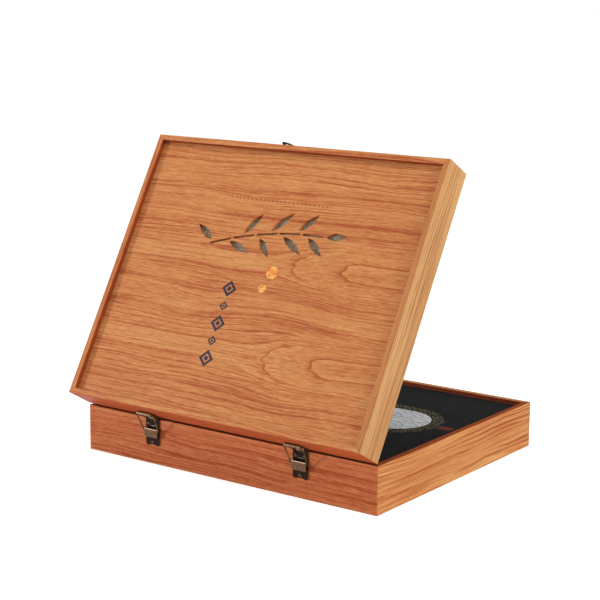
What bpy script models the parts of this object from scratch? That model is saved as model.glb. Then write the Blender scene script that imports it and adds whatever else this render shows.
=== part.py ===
# Hinged wooden box for papers and keepsakes, standing open at 60 degrees.
# Metres, +Z up. The origin is the centre of the base's underside.
# X runs along the long side, Y from the hinge wall to the latch wall.

import math

import bmesh
import bpy
from mathutils import Matrix, Vector

# Overall sizes
box_width = 0.350
box_depth = 0.285
base_height = 0.047
lid_height = 0.034
wall_thickness = 0.006
seam_gap = 0.0005
joint_gap = 0.0003
edge_round = 0.0004
cut_overrun = 0.002
weld_distance = 0.000001
flat_angle = math.radians(0.05)
smooth_limit = math.radians(35.0)

# Poses that the part is modelled in
lid_open_angle = math.radians(60.0)
hook_open_angle = math.radians(125.0)

# Inside of the base: a bottom board, ledges, and a cover board that lies on them
bottom_board_thickness = 0.003
cover_board_thickness = 0.0025
cover_board_drop = 0.0045
ledge_width = 0.006
ledge_height = 0.008

# Inside of the lid: a panel in a groove, and a backing board behind it
panel_recess = 0.005
panel_thickness = 0.003
panel_groove_depth = 0.003
backing_thickness = 0.002

# Sprig cut through the lid panel: a jointed cane and its leaves
cane_length = 0.128
cane_slot_width = 0.0022
cane_joint_length = 0.0042
cane_centre_x = -0.004
cane_centre_y = 0.044
cane_rise = 0.020
cane_bow = 0.006
cane_segments = 5
leaf_length = 0.031
leaf_width = 0.0078
leaf_root_gap = 0.0048
leaf_steps = 7
leaf_belly_share = 0.85
# Each leaf: place along the cane, turn from the cane in degrees, and length
leaf_shares = (
    (0.03, 128.0, 0.84),
    (0.14, -36.0, 0.92),
    (0.26, 40.0, 0.92),
    (0.42, -58.0, 0.80),
    (0.50, 36.0, 0.98),
    (0.62, -38.0, 1.00),
    (0.75, 42.0, 0.84),
    (0.85, -40.0, 0.88),
    (1.00, 6.0, 0.76),
)

# Two round inlays below the sprig
inlay_large_radius = 0.0068
inlay_small_radius = 0.0048
inlay_large_x = 0.0170
inlay_large_y = 0.0120
inlay_small_x = 0.0110
inlay_small_y = -0.0050

# Hinges: curled leaves on a pin, with a spring wire bow and a sliding clip
hinge_spacing = 0.180
hinge_leaf_width = 0.0175
hinge_leaf_thickness = 0.0006
knuckle_radius = 0.0014
pin_radius = 0.0006
hinge_axis_rise = 0.0006
lower_leaf_length = 0.0287
leaf_corner_radius = 0.0030
leaf_scallop_depth = 0.0012
centre_knuckle_width = 0.0062
knuckle_side_gap = 0.0003
curl_sweep = 285.0
curl_steps = 16
bar_height = 0.0127
bar_curl_inner_radius = 0.0011
bow_wire_radius = 0.0007
bow_top_width = 0.0226
bow_foot_width = 0.0186
bow_foot_inset = 0.0023
bow_corner_radius = 0.0024
bow_foot_standoff = 0.0025
bow_foot_height = 0.0332
corner_steps = 5

# Sliding clip on the face of the lower leaf
clip_wall = 0.0005
clip_width = 0.0164
clip_height = 0.0083
clip_inner_standoff = 0.0038
clip_drop = 0.0007
clip_window_height = 0.0033
clip_window_rise = 0.0001
clip_window_end = 0.00375

# Screws, the same on hinges and latch
screw_head_radius = 0.0019
screw_head_height = 0.0008
screw_shank_radius = 0.0008
screw_shank_length = 0.0045
screw_slot_width = 0.0005
screw_slot_length = 0.0022
screw_slot_depth = 0.0004
screw_hole_clearance = 0.0003
round_steps = 16
dome_steps = 3
leaf_screw_spread = 0.0100
upper_screw_rise = 0.0067
lower_screw_upper_drop = 0.0066
lower_screw_lower_drop = 0.0249

# Latch: a hook that swings on a rivet, and a stud that it catches
latch_x = 0.006
hook_pivot_rise = 0.016
stud_drop = 0.008
latch_plate_thickness = 0.0008
latch_plate_width = 0.0165
latch_plate_height = 0.0130
latch_plate_offset = 0.0030
latch_plate_corner = 0.0020
latch_screw_x = 0.0075
latch_screw_spread = 0.0072
hook_thickness = 0.0013
hook_boss_radius = 0.0038
hook_arm_width = 0.0036
hook_head_width = 0.0068
hook_length = 0.0300
hook_flare_start_share = 1.7
hook_flare_end_share = 0.9
rivet_radius = 0.0012
rivet_head_radius = 0.0025
rivet_head_height = 0.0009
rivet_clearance = 0.0003

# Sizes that follow from the ones above
half_width = box_width / 2
half_depth = box_depth / 2
lid_bottom = base_height + seam_gap
lid_top = lid_bottom + lid_height
panel_top = lid_top - panel_recess
panel_bottom = panel_top - panel_thickness
backing_top = panel_bottom - joint_gap
backing_bottom = backing_top - backing_thickness
inner_half_width = half_width - wall_thickness - joint_gap
inner_half_depth = half_depth - wall_thickness - joint_gap
cover_top = base_height - cover_board_drop
cover_bottom = cover_top - cover_board_thickness
ledge_top = cover_bottom - joint_gap
leaf_outer_face = joint_gap + hinge_leaf_thickness
hinge_axis_standoff = joint_gap + knuckle_radius
hinge_axis_z = base_height + hinge_axis_rise
bar_curl_radius = bar_curl_inner_radius + hinge_leaf_thickness
bar_standoff = joint_gap + bar_curl_radius
bar_z = hinge_axis_z + bar_height
leaf_bottom_z = hinge_axis_z - lower_leaf_length
hook_pivot_z = lid_bottom + hook_pivot_rise
stud_z = base_height - stud_drop
notch_distance = hook_pivot_z - stud_z
latch_plate_front = joint_gap + latch_plate_thickness
hook_back = latch_plate_front + joint_gap
hook_front = hook_back + hook_thickness
head_seat = hook_front + joint_gap

# How a flat outline's own X and Y lie in the world
plan_turn = (0.0, 0.0, 0.0)
front_turn = (math.radians(90.0), 0.0, 0.0)
side_turn = (math.radians(90.0), 0.0, math.radians(90.0))
# How a turned piece's axis points away from the hinge wall and from the latch wall
away_from_back = (math.radians(90.0), 0.0, 0.0)
away_from_front = (math.radians(-90.0), 0.0, 0.0)


def behind(standoff):
    """Y of a point that stands this far outside the hinge wall."""
    return -half_depth - standoff


def before(standoff):
    """Y of a point that stands this far outside the latch wall."""
    return half_depth + standoff


# Scene, collections and materials

def clear_scene():
    for old in list(bpy.data.objects):
        bpy.data.objects.remove(old, do_unlink=True)


def new_collection(name):
    collection = bpy.data.collections.new(name)
    bpy.context.scene.collection.children.link(collection)
    return collection


def new_material(name, color, roughness, metallic=0.0):
    material = bpy.data.materials.new(name)
    material.use_nodes = True
    shader = material.node_tree.nodes["Principled BSDF"]
    shader.inputs["Base Color"].default_value = (*color, 1.0)
    shader.inputs["Roughness"].default_value = roughness
    shader.inputs["Metallic"].default_value = metallic
    material.diffuse_color = (*color, 1.0)
    return material


clear_scene()
part_collection = new_collection("hinged_wooden_box")
cutter_collection = new_collection("box_cutters")

veneer = new_material("veneer", (0.56, 0.27, 0.10), 0.45)
veneer_panel = new_material("veneer_panel", (0.58, 0.28, 0.11), 0.45)
raw_board = new_material("raw_board", (0.35, 0.20, 0.11), 0.70)
cover_black = new_material("cover_black", (0.015, 0.015, 0.017), 0.60)
linen = new_material("linen", (0.26, 0.20, 0.13), 0.90)
orange_inlay = new_material("orange_inlay", (0.85, 0.32, 0.05), 0.40)
antique_brass = new_material("antique_brass", (0.22, 0.14, 0.07), 0.42, 1.0)
bright_wire = new_material("bright_wire", (0.38, 0.26, 0.14), 0.35, 1.0)


# Building blocks

def mesh_object(name, bm, material=None):
    """Make an object of a bmesh: a part where it has a material, a cutter where not."""
    mesh = bpy.data.meshes.new(name)
    bm.to_mesh(mesh)
    bm.free()
    obj = bpy.data.objects.new(name, mesh)
    if material:
        mesh.materials.append(material)
        part_collection.objects.link(obj)
    else:
        cutter_collection.objects.link(obj)
        obj.hide_render = True
        obj.display_type = "WIRE"
    return obj


def smooth_round_faces(obj):
    obj.data.shade_smooth()
    obj.data.set_sharp_from_angle(angle=smooth_limit)


def evaluated_mesh(obj):
    bpy.context.view_layer.update()
    graph = bpy.context.evaluated_depsgraph_get()
    return bpy.data.meshes.new_from_object(obj.evaluated_get(graph))


def box(name, low, high, material=None):
    low, high = Vector(low), Vector(high)
    bm = bmesh.new()
    bmesh.ops.create_cube(bm, size=1.0)
    bmesh.ops.scale(bm, vec=high - low, verts=bm.verts)
    obj = mesh_object(name, bm, material)
    obj.location = (low + high) / 2
    return obj


def flat(name, outline, thickness, centre, turn, material=None):
    """A flat outline, filled and extruded about its own plane, then made a mesh."""
    curve = bpy.data.curves.new(name + "_outline", "CURVE")
    curve.dimensions = "2D"
    curve.fill_mode = "BOTH"
    curve.extrude = thickness / 2
    spline = curve.splines.new("POLY")
    spline.points.add(len(outline) - 1)
    for point, (u, v) in zip(spline.points, outline):
        point.co = (u, v, 0.0, 1.0)
    spline.use_cyclic_u = True
    drawn = bpy.data.objects.new(name + "_outline", curve)
    cutter_collection.objects.link(drawn)
    drawn.location = centre
    drawn.rotation_euler = turn
    mesh = evaluated_mesh(drawn)
    bm = bmesh.new()
    bm.from_mesh(mesh)
    bmesh.ops.remove_doubles(bm, verts=bm.verts, dist=weld_distance)
    bmesh.ops.dissolve_limit(bm, angle_limit=flat_angle, verts=bm.verts, edges=bm.edges)
    bmesh.ops.recalc_face_normals(bm, faces=bm.faces)
    obj = mesh_object(name, bm, material)
    obj.matrix_world = drawn.matrix_world
    bpy.data.objects.remove(drawn, do_unlink=True)
    return obj


def turned(name, profile, centre, turn, material=None):
    """A profile of (radius, height) from the top of the axis to its foot, turned round it."""
    bm = bmesh.new()
    points = [bm.verts.new((radius, 0.0, height)) for radius, height in profile]
    for upper, lower in zip(points, points[1:]):
        bm.edges.new((upper, lower))
    obj = mesh_object(name, bm, material)
    screw = obj.modifiers.new("turn", "SCREW")
    screw.steps = round_steps
    screw.render_steps = round_steps
    screw.use_merge_vertices = True
    screw.merge_threshold = weld_distance
    obj.location = centre
    obj.rotation_euler = turn
    return obj


def cylinders(name, places, radius, y_low, y_high):
    """One cutter of plain cylinders along Y, at these (x, z) places."""
    bm = bmesh.new()
    for x, z in places:
        middle = Matrix.Translation((x, (y_low + y_high) / 2, z))
        bmesh.ops.create_cone(
            bm, cap_ends=True, segments=round_steps, radius1=radius, radius2=radius,
            depth=y_high - y_low, matrix=middle @ Matrix.Rotation(math.radians(90.0), 4, "X"))
    return mesh_object(name, bm)


def joined_cutter(name, sources):
    """Join several cutters into one, so that a single Boolean cuts them all."""
    bm = bmesh.new()
    for source in sources:
        mesh = evaluated_mesh(source)
        mesh.transform(source.matrix_world)
        bm.from_mesh(mesh)
        bpy.data.meshes.remove(mesh)
    for source in sources:
        bpy.data.objects.remove(source, do_unlink=True)
    return mesh_object(name, bm)


def boolean(obj, cutter, operation="DIFFERENCE"):
    modifier = obj.modifiers.new(operation.lower(), "BOOLEAN")
    modifier.operation = operation
    modifier.solver = "EXACT"
    modifier.object = cutter


def pivot(name, location, turn=(0.0, 0.0, 0.0)):
    empty = bpy.data.objects.new(name, None)
    part_collection.objects.link(empty)
    empty.location = location
    empty.rotation_euler = turn
    return empty


def hang(obj, carrier):
    """Hang a piece on a pivot. The piece is modelled as if the pivot weren't turned."""
    obj.parent = carrier
    obj.matrix_parent_inverse = Matrix.Translation(carrier.location).inverted()
    return obj


def arc(centre, radius, start, end, steps):
    """Points of a circular arc, its angles in degrees, both ends included."""
    points = []
    for step in range(steps + 1):
        angle = math.radians(start + (end - start) * step / steps)
        points.append((centre[0] + radius * math.cos(angle), centre[1] + radius * math.sin(angle)))
    return points


def rounded_rectangle(width, height, radius):
    right, top = width / 2 - radius, height / 2 - radius
    outline = []
    for x, y, start in ((right, -top, -90), (right, top, 0), (-right, top, 90), (-right, -top, 180)):
        outline += arc((x, y), radius, start, start + 90, corner_steps)
    return outline


# Wooden boards

def round_long_edges(obj, along):
    """Break the edges that run along a board, and leave its mitred ends sharp."""
    mesh = obj.data
    weights = mesh.attributes.new("bevel_weight_edge", "FLOAT", "EDGE")
    for edge in mesh.edges:
        first, second = (mesh.vertices[index].co for index in edge.vertices)
        direction = (second - first).normalized()
        weights.data[edge.index].value = 1.0 if abs(direction[along]) > 0.999 else 0.0
    bevel = obj.modifiers.new("edge_round", "BEVEL")
    bevel.limit_method = "WEIGHT"
    bevel.width = edge_round
    bevel.segments = 2


def mitred_walls(prefix, low, high):
    """Four boards round the box, cut at 45 degrees where they meet."""
    outer_x, inner_x = half_width, half_width - wall_thickness
    outer_y, inner_y = half_depth, half_depth - wall_thickness
    side_outer, side_inner = outer_y - joint_gap, inner_y - joint_gap
    walls = {}
    for side, sign in (("back", -1), ("front", 1)):
        outline = [(-outer_x, sign * outer_y), (outer_x, sign * outer_y),
                   (inner_x, sign * inner_y), (-inner_x, sign * inner_y)]
        walls[side] = (outline, 0)
    for side, sign in (("left", -1), ("right", 1)):
        outline = [(sign * outer_x, -side_outer), (sign * outer_x, side_outer),
                   (sign * inner_x, side_inner), (sign * inner_x, -side_inner)]
        walls[side] = (outline, 1)
    boards = {}
    for side, (outline, along) in walls.items():
        name = f"{prefix}_{side}_wall"
        boards[side] = flat(name, outline, high - low, (0.0, 0.0, (low + high) / 2), plan_turn, veneer)
        round_long_edges(boards[side], along)
    return boards


def build_base():
    walls = mitred_walls("base", 0.0, base_height)
    box("base_bottom_board", (-inner_half_width, -inner_half_depth, 0.0),
        (inner_half_width, inner_half_depth, bottom_board_thickness), raw_board)
    ledge_low = ledge_top - ledge_height
    for side, sign in (("back", -1), ("front", 1)):
        near, far = sign * inner_half_depth, sign * (inner_half_depth - ledge_width)
        box(f"cover_ledge_{side}", (-inner_half_width, min(near, far), ledge_low),
            (inner_half_width, max(near, far), ledge_top), raw_board)
    ledge_end = inner_half_depth - ledge_width - joint_gap
    for side, sign in (("left", -1), ("right", 1)):
        near, far = sign * inner_half_width, sign * (inner_half_width - ledge_width)
        box(f"cover_ledge_{side}", (min(near, far), -ledge_end, ledge_low),
            (max(near, far), ledge_end, ledge_top), raw_board)
    box("cover_board", (-inner_half_width, -inner_half_depth, cover_bottom),
        (inner_half_width, inner_half_depth, cover_top), cover_black)
    return walls


# Lid panel with its sprig and inlays

def cane_point(share):
    """A point on the cane, and the cane's direction there, at this share of its length."""
    x = cane_centre_x + (share - 0.5) * cane_length
    y = cane_centre_y + (share - 0.5) * cane_rise + 4.0 * share * (1.0 - share) * cane_bow
    slope = (cane_rise + 4.0 * (1.0 - 2.0 * share) * cane_bow) / cane_length
    return Vector((x, y)), math.atan(slope)


def cane_outline(start, end):
    """One joint of the cane: a slot that follows it, with round ends."""
    (first, first_turn), (last, last_turn) = cane_point(start), cane_point(end)
    radius = cane_slot_width / 2
    first_degrees, last_degrees = math.degrees(first_turn), math.degrees(last_turn)
    outline = arc(last, radius, last_degrees - 90, last_degrees + 90, corner_steps)
    outline += arc(first, radius, first_degrees + 90, first_degrees + 270, corner_steps)
    return outline


def leaf_outline(share, turn, length):
    """A leaf pointed at both ends, its root just off the cane."""
    root, cane_turn = cane_point(share)
    heading = cane_turn + math.radians(turn)
    along = Vector((math.cos(heading), math.sin(heading)))
    across = Vector((-along.y, along.x))
    start = root + along * leaf_root_gap
    sides = []
    for sign in (1, -1):
        side = []
        for step in range(leaf_steps + 1):
            place = step / leaf_steps
            half = leaf_width / 2 * math.sin(math.pi * place ** leaf_belly_share)
            side.append(start + along * (place * length) + across * (sign * half))
        sides.append(side)
    outline = sides[0] + sides[1][-2:0:-1]
    return [tuple(point) for point in outline]


def sprig_outlines():
    joint_share = cane_joint_length / cane_length
    step = (1.0 + joint_share) / cane_segments
    outlines = []
    for index in range(cane_segments):
        outlines.append(cane_outline(index * step, (index + 1) * step - joint_share))
    for share, turn, length_share in leaf_shares:
        outlines.append(leaf_outline(share, turn, leaf_length * length_share))
    return outlines


def build_lid_panel(lid_pivot):
    reach = panel_groove_depth - joint_gap
    half_x, half_y = half_width - wall_thickness + reach, half_depth - wall_thickness + reach
    panel = box("lid_panel", (-half_x, -half_y, panel_bottom), (half_x, half_y, panel_top), veneer_panel)
    middle = (panel_bottom + panel_top) / 2
    depth = panel_thickness + 2 * cut_overrun
    slots = [flat(f"slot_{index}", outline, depth, (0.0, 0.0, middle), plan_turn)
             for index, outline in enumerate(sprig_outlines())]
    inlays = (("inlay_large", inlay_large_x, inlay_large_y, inlay_large_radius),
              ("inlay_small", inlay_small_x, inlay_small_y, inlay_small_radius))
    for name, x, y, radius in inlays:
        hole = arc((0.0, 0.0), radius + joint_gap, 0, 360 - 360 / (2 * round_steps), 2 * round_steps - 1)
        slots.append(flat(name + "_hole", hole, depth, (x, y, middle), plan_turn))
        disc = arc((0.0, 0.0), radius, 0, 360 - 360 / (2 * round_steps), 2 * round_steps - 1)
        hang(flat(name, disc, panel_thickness, (x, y, middle), plan_turn, orange_inlay), lid_pivot)
    cutter = hang(joined_cutter("sprig_cutter", slots), lid_pivot)
    boolean(panel, cutter)
    hang(panel, lid_pivot)


def build_lid(lid_pivot):
    walls = mitred_walls("lid", lid_bottom, lid_top)
    half_x = half_width - wall_thickness + panel_groove_depth
    half_y = half_depth - wall_thickness + panel_groove_depth
    groove = box("panel_groove", (-half_x, -half_y, panel_bottom - joint_gap),
                 (half_x, half_y, panel_top + joint_gap))
    hang(groove, lid_pivot)
    for wall in walls.values():
        boolean(wall, groove)
        hang(wall, lid_pivot)
    build_lid_panel(lid_pivot)
    backing = box("lid_backing_board", (-inner_half_width, -inner_half_depth, backing_bottom),
                  (inner_half_width, inner_half_depth, backing_top), linen)
    hang(backing, lid_pivot)
    return walls


# Screws, rivet and stud

def domed_profile(head_radius, head_height, shank_radius, shank_length):
    profile = []
    for step in range(dome_steps + 1):
        angle = math.radians(90.0 * step / dome_steps)
        profile.append((head_radius * math.sin(angle), head_height * math.cos(angle)))
    profile += [(shank_radius, 0.0), (shank_radius, -shank_length), (0.0, -shank_length)]
    return profile


def screw_mesh():
    """A small domed screw with a crossed slot, its seat at the origin and its head up."""
    profile = domed_profile(screw_head_radius, screw_head_height, screw_shank_radius, screw_shank_length)
    body = turned("domed_screw", profile, (0.0, 0.0, 0.0), (0.0, 0.0, 0.0), antique_brass)
    half_length, half_slot = screw_slot_length / 2, screw_slot_width / 2
    floor, top = screw_head_height - screw_slot_depth, screw_head_height + cut_overrun
    bars = [box("slot_along", (-half_length, -half_slot, floor), (half_length, half_slot, top)),
            box("slot_across", (-half_slot, -half_length, floor), (half_slot, half_length, top))]
    for bar in bars:
        boolean(body, bar)
    mesh = evaluated_mesh(body)
    for used in (body, *bars):
        bpy.data.objects.remove(used, do_unlink=True)
    mesh.shade_smooth()
    mesh.set_sharp_from_angle(angle=smooth_limit)
    return mesh


def screws(name, places, seat_y, turn, mesh, carrier=None):
    """Screws at these (x, z) places, each its own object, all seated at the same Y."""
    for index, (x, z) in enumerate(places, start=1):
        one = bpy.data.objects.new(f"{name}_{index}", mesh)
        part_collection.objects.link(one)
        one.location = (x, seat_y, z)
        one.rotation_euler = turn
        if carrier:
            hang(one, carrier)


def screw_holes(name, places, wall_side, walls, plates, carrier=None):
    """Cut the screws' holes through their plate and into the wall behind it."""
    radius = screw_shank_radius + screw_hole_clearance
    depth = screw_shank_length + joint_gap
    front = leaf_outer_face + latch_plate_front + cut_overrun
    if wall_side == "back":
        y_low, y_high = behind(front), behind(-depth)
    else:
        y_low, y_high = before(-depth), before(front)
    cutter = cylinders(name, places, radius, y_low, y_high)
    if carrier:
        hang(cutter, carrier)
    for target in [walls[wall_side], *plates]:
        boolean(target, cutter)


# Hinges

def lower_leaf_profile():
    """Side view of the lower leaf: a plate that curls outward over the pin."""
    centre = (behind(hinge_axis_standoff), hinge_axis_z)
    inner = knuckle_radius - hinge_leaf_thickness
    outline = [(behind(joint_gap), leaf_bottom_z)]
    outline += arc(centre, knuckle_radius, 0, curl_sweep, curl_steps)
    outline += arc(centre, inner, curl_sweep, 0, curl_steps)
    outline.append((behind(leaf_outer_face), leaf_bottom_z))
    return outline


def upper_leaf_profile():
    """Side view of the upper leaf: curled under the pin below, and round the bow above."""
    pin = (behind(hinge_axis_standoff), hinge_axis_z)
    bar = (behind(bar_standoff), bar_z)
    pin_inner = knuckle_radius - hinge_leaf_thickness
    outline = arc(pin, knuckle_radius, -curl_sweep, 0, curl_steps)
    outline += arc(bar, bar_curl_radius, 0, curl_sweep, curl_steps)
    outline += arc(bar, bar_curl_inner_radius, curl_sweep, 0, curl_steps)
    outline += arc(pin, pin_inner, 0, -curl_sweep, curl_steps)
    return outline


def lower_leaf_silhouette():
    """Front view of the lower leaf: round lower corners, a scallop, and a gap for the upper knuckle."""
    half, radius = hinge_leaf_width / 2, leaf_corner_radius
    top = hinge_axis_z + knuckle_radius + cut_overrun
    gap_half = centre_knuckle_width / 2 + knuckle_side_gap
    gap_floor = hinge_axis_z - knuckle_radius - knuckle_side_gap
    run = half - radius
    scallop_radius = (run ** 2 + leaf_scallop_depth ** 2) / (2 * leaf_scallop_depth)
    scallop_centre = (0.0, leaf_bottom_z + leaf_scallop_depth - scallop_radius)
    spread = math.degrees(math.asin(run / scallop_radius))
    outline = arc(scallop_centre, scallop_radius, 90 + spread, 90 - spread, 2 * corner_steps)[1:-1]
    outline += arc((run, leaf_bottom_z + radius), radius, -90, 0, corner_steps)
    outline += [(half, top), (gap_half, top), (gap_half, gap_floor)]
    outline += [(-gap_half, gap_floor), (-gap_half, top), (-half, top)]
    outline += arc((-run, leaf_bottom_z + radius), radius, 180, 270, corner_steps)
    return outline


def upper_leaf_silhouette():
    """Front view of the upper leaf: one knuckle below, full width above."""
    half, finger = hinge_leaf_width / 2, centre_knuckle_width / 2
    shoulder = hinge_axis_z + knuckle_radius + knuckle_side_gap
    bottom = hinge_axis_z - knuckle_radius - cut_overrun
    top = bar_z + bar_curl_radius + cut_overrun
    return [(-finger, bottom), (finger, bottom), (finger, shoulder), (half, shoulder),
            (half, top), (-half, top), (-half, shoulder), (-finger, shoulder)]


def curled_leaf(name, profile, silhouette, hinge_x, carrier=None):
    """A leaf is its side view, extruded across, cut to its front view."""
    width = hinge_leaf_width + 2 * cut_overrun
    leaf = flat(name, profile, width, (hinge_x, 0.0, 0.0), side_turn, antique_brass)
    depth = 2 * (bar_standoff + bar_curl_radius + cut_overrun)
    cutter = flat(name + "_cutter", silhouette, depth, (hinge_x, behind(0.0), 0.0), front_turn)
    boolean(leaf, cutter, "INTERSECT")
    if carrier:
        hang(leaf, carrier)
        hang(cutter, carrier)
    return leaf


def rounded_path(corners, radius):
    """Straight runs between corner points, with each inner corner rounded."""
    path = [corners[0]]
    for before_point, corner, after_point in zip(corners, corners[1:], corners[2:]):
        back = (before_point - corner).normalized()
        ahead = (after_point - corner).normalized()
        opening = back.angle(ahead)
        cut = radius / math.tan(opening / 2)
        centre = corner + (back + ahead).normalized() * (radius / math.sin(opening / 2))
        start = (corner + back * cut - centre).normalized()
        end = (corner + ahead * cut - centre).normalized()
        for step in range(corner_steps + 1):
            path.append(centre + start.slerp(end, step / corner_steps) * radius)
    path.append(corners[-1])
    return path


def build_bow(side, hinge_x, lid_pivot):
    """The spring wire: its bar turns in the upper leaf, its feet stand in the sliding clip."""
    foot_back = bow_foot_standoff
    rest_bar_standoff = (hinge_axis_standoff
                         + (bar_standoff - hinge_axis_standoff) * math.cos(lid_open_angle)
                         + bar_height * math.sin(lid_open_angle))
    rest_bar_z = (hinge_axis_z
                  - (bar_standoff - hinge_axis_standoff) * math.sin(lid_open_angle)
                  + bar_height * math.cos(lid_open_angle))
    inward, down = rest_bar_standoff - foot_back, rest_bar_z - bow_foot_height
    length, turn = math.hypot(inward, down), math.atan2(inward, down)
    bow_pivot = pivot(f"hinge_{side}_bow_pivot", (hinge_x, behind(bar_standoff), bar_z),
                      (turn - lid_open_angle, 0.0, 0.0))
    hang(bow_pivot, lid_pivot)
    top, foot = bow_top_width / 2, bow_foot_width / 2
    tip = foot - bow_foot_inset
    corners = [Vector((-tip, 0.0, -length)), Vector((-foot, 0.0, -length)), Vector((-top, 0.0, 0.0)),
               Vector((top, 0.0, 0.0)), Vector((foot, 0.0, -length)), Vector((tip, 0.0, -length))]
    legs = rounded_path(corners[:3], bow_wire_radius * 2)[:-1]
    crown = rounded_path(corners[1:5], bow_corner_radius)[1:-1]
    other = rounded_path(corners[3:], bow_wire_radius * 2)[1:]
    path = legs + crown + other
    curve = bpy.data.curves.new(f"hinge_{side}_bow", "CURVE")
    curve.dimensions = "3D"
    curve.bevel_depth = bow_wire_radius
    curve.bevel_resolution = 2
    curve.use_fill_caps = True
    spline = curve.splines.new("POLY")
    spline.points.add(len(path) - 1)
    for point, place in zip(spline.points, path):
        point.co = (*place, 1.0)
    curve.materials.append(bright_wire)
    bow = bpy.data.objects.new(f"hinge_{side}_bow", curve)
    part_collection.objects.link(bow)
    bow.location = bow_pivot.location
    hang(bow, bow_pivot)


def build_clip(side, hinge_x):
    """The sliding clip: a channel that stands on the lower leaf, with a window for each foot."""
    outer = clip_width / 2
    inner = outer - clip_wall
    start, reach = leaf_outer_face + joint_gap, clip_inner_standoff
    face = reach + clip_wall
    outline = [(-outer, behind(start)), (-outer, behind(face)),
               (outer, behind(face)), (outer, behind(start)),
               (inner, behind(start)), (inner, behind(reach)),
               (-inner, behind(reach)), (-inner, behind(start))]
    middle = bow_foot_height - clip_drop
    place = (hinge_x, 0.0, middle)
    clip = flat(f"hinge_{side}_clip", outline, clip_height, place, plan_turn, antique_brass)
    window_middle = bow_foot_height + clip_window_rise
    half = clip_window_height / 2
    window = box(f"hinge_{side}_clip_window",
                 (hinge_x - outer - cut_overrun, behind(clip_window_end), window_middle - half),
                 (hinge_x + outer + cut_overrun, behind(start - cut_overrun), window_middle + half))
    boolean(clip, window)


def build_hinge(side, hinge_x, base_walls, lid_walls, lid_pivot, domed_screw):
    name = f"hinge_{side}"
    lower = curled_leaf(f"{name}_lower_leaf", lower_leaf_profile(), lower_leaf_silhouette(), hinge_x)
    upper = curled_leaf(f"{name}_upper_leaf", upper_leaf_profile(), upper_leaf_silhouette(),
                        hinge_x, lid_pivot)
    half = hinge_leaf_width / 2
    pin_profile = [(0.0, half), (pin_radius, half), (pin_radius, -half), (0.0, -half)]
    axis_place = (hinge_x, behind(hinge_axis_standoff), hinge_axis_z)
    pin = turned(f"{name}_pin", pin_profile, axis_place, (0.0, math.radians(90.0), 0.0), antique_brass)
    smooth_round_faces(pin)
    spread = leaf_screw_spread / 2
    seat = behind(leaf_outer_face + joint_gap)
    lower_places = [(hinge_x - spread, hinge_axis_z - lower_screw_upper_drop),
                    (hinge_x + spread, hinge_axis_z - lower_screw_upper_drop),
                    (hinge_x, hinge_axis_z - lower_screw_lower_drop)]
    upper_places = [(hinge_x - spread, hinge_axis_z + upper_screw_rise),
                    (hinge_x + spread, hinge_axis_z + upper_screw_rise)]
    screws(f"{name}_lower_screw", lower_places, seat, away_from_back, domed_screw)
    screws(f"{name}_upper_screw", upper_places, seat, away_from_back, domed_screw, lid_pivot)
    screw_holes(f"{name}_lower_holes", lower_places, "back", base_walls, [lower])
    screw_holes(f"{name}_upper_holes", upper_places, "back", lid_walls, [upper], lid_pivot)
    build_bow(side, hinge_x, lid_pivot)
    build_clip(side, hinge_x)


# Latch

def latch_plate(name, z, carrier=None):
    """A plate with two screws on the side that the hook never sweeps."""
    outline = rounded_rectangle(latch_plate_width, latch_plate_height, latch_plate_corner)
    middle = before(joint_gap + latch_plate_thickness / 2)
    place = (latch_x + latch_plate_offset, middle, z)
    plate = flat(name, outline, latch_plate_thickness, place, front_turn, antique_brass)
    if carrier:
        hang(plate, carrier)
    return plate


def hook_outline():
    """The hook as it hangs when latched, with its notch open to +X."""
    boss, arm, head = hook_boss_radius, hook_arm_width / 2, hook_head_width / 2
    slot = rivet_radius + rivet_clearance
    neck_angle = math.degrees(math.asin(arm / boss))
    flare_start = -notch_distance + head * hook_flare_start_share
    flare_end = -notch_distance + head * hook_flare_end_share
    outline = arc((0.0, 0.0), boss, -90 + neck_angle, 270 - neck_angle, 2 * round_steps)
    outline += [(-arm, flare_start), (-head, flare_end)]
    outline += arc((0.0, head - hook_length), head, 180, 360, 2 * corner_steps)
    outline.append((head, -notch_distance - slot))
    outline += arc((0.0, -notch_distance), slot, 270, 90, 2 * corner_steps)
    outline += [(head, -notch_distance + slot), (head, flare_end), (arm, flare_start)]
    return outline


def headed_pin(name, z, walls, plates, carrier=None):
    """The hook's rivet, or the stud that it catches: a neck with a domed head."""
    shank = head_seat + screw_shank_length
    profile = domed_profile(rivet_head_radius, rivet_head_height, rivet_radius, shank)
    pin = turned(name, profile, (latch_x, before(head_seat), z), away_from_front, antique_brass)
    smooth_round_faces(pin)
    hole = cylinders(name + "_hole", [(latch_x, z)], rivet_radius + rivet_clearance,
                     before(-screw_shank_length - joint_gap), before(head_seat + cut_overrun))
    if carrier:
        hang(pin, carrier)
        hang(hole, carrier)
    for target in [walls["front"], *plates]:
        boolean(target, hole)


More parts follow.
